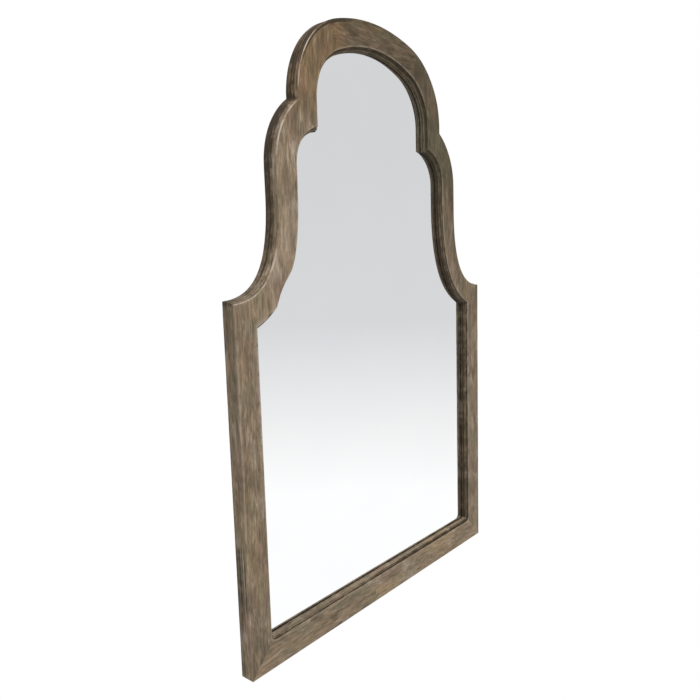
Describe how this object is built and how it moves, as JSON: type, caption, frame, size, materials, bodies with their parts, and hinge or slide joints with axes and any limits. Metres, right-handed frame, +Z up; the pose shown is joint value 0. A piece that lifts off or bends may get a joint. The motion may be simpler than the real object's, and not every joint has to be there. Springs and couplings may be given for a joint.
{
  "type": "cathedral arch wall mirror",
  "caption": "Wall mirror in a weathered wooden frame with a straight base, hollow shoulders, round lobes and an arched crown, hung on two strap hangers with rings.",
  "frame": {"origin": "middle of the bottom face of the frame, half way through the frame's depth", "axes": "+Z up along the mirror's height, +X to the right of someone looking at the glass, the glass faces -Y and the wall is towards +Y"},
  "size_m": [0.762, 0.0332, 1.1353],
  "materials": {
    "weathered_wood": "weathered grey-brown, limed, dull satin",
    "dowel_beech": "plain beech, raw",
    "silvered_glass": "silvered behind clear float glass",
    "shim_rubber": "matt black",
    "hardboard": "raw brown hardboard",
    "screw_zinc": "zinc plated",
    "hanger_steel": "zinc plated sheet and wire",
    "bumper_rubber": "matt dark grey"
  },
  "bodies": {
    "frame": {"rail_left": "weathered_wood", "stile_left": "weathered_wood", "shoulder_left": "weathered_wood", "lobe_left": "weathered_wood", "rail_right": "weathered_wood", "stile_right": "weathered_wood", "shoulder_right": "weathered_wood", "lobe_right": "weathered_wood", "crown": "weathered_wood", "dowel_splice_middle_1": "dowel_beech", "dowel_splice_middle_2": "dowel_beech", "dowel_mitre_left_1": "dowel_beech", "dowel_mitre_left_2": "dowel_beech", "dowel_mitre_right_1": "dowel_beech", "dowel_mitre_right_2": "dowel_beech", "dowel_shoulder_left_1": "dowel_beech", "dowel_shoulder_left_2": "dowel_beech", "dowel_shoulder_right_1": "dowel_beech", "dowel_shoulder_right_2": "dowel_beech", "dowel_neck_left_1": "dowel_beech", "dowel_neck_left_2": "dowel_beech", "dowel_neck_right_1": "dowel_beech", "dowel_neck_right_2": "dowel_beech", "dowel_crown_left_1": "dowel_beech", "dowel_crown_left_2": "dowel_beech", "dowel_crown_right_1": "dowel_beech", "dowel_crown_right_2": "dowel_beech", "mirror_glass": "silvered_glass", "glass_shim_left": "shim_rubber", "glass_shim_right": "shim_rubber", "backing_board": "hardboard", "board_screw_left_1": "screw_zinc", "board_screw_left_2": "screw_zinc", "board_screw_left_3": "screw_zinc", "board_screw_left_4": "screw_zinc", "board_screw_left_5": "screw_zinc", "board_screw_left_6": "screw_zinc", "board_screw_right_1": "screw_zinc", "board_screw_right_2": "screw_zinc", "board_screw_right_3": "screw_zinc", "board_screw_right_4": "screw_zinc", "board_screw_right_5": "screw_zinc", "board_screw_right_6": "screw_zinc", "hanger_screw_left_1": "screw_zinc", "hanger_screw_left_2": "screw_zinc", "hanger_screw_right_1": "screw_zinc", "hanger_screw_right_2": "screw_zinc", "hanger_strap_left": "hanger_steel", "hanger_strap_right": "hanger_steel", "bumper_left": "bumper_rubber", "bumper_right": "bumper_rubber"},
    "ring_left": {"hanger_ring_left": "hanger_steel"},
    "ring_right": {"hanger_ring_right": "hanger_steel"}
  },
  "joints": [
    {"name": "ring_left_swing", "type": "hinge", "parent": "frame", "child": "ring_left", "pos_m": [-0.25485, 0.0168, 0.8255], "axis": [1, 0, 0], "range_deg": [0, 178]},
    {"name": "ring_right_swing", "type": "hinge", "parent": "frame", "child": "ring_right", "pos_m": [0.25485, 0.0168, 0.8255], "axis": [1, 0, 0], "range_deg": [0, 178]}
  ]
}
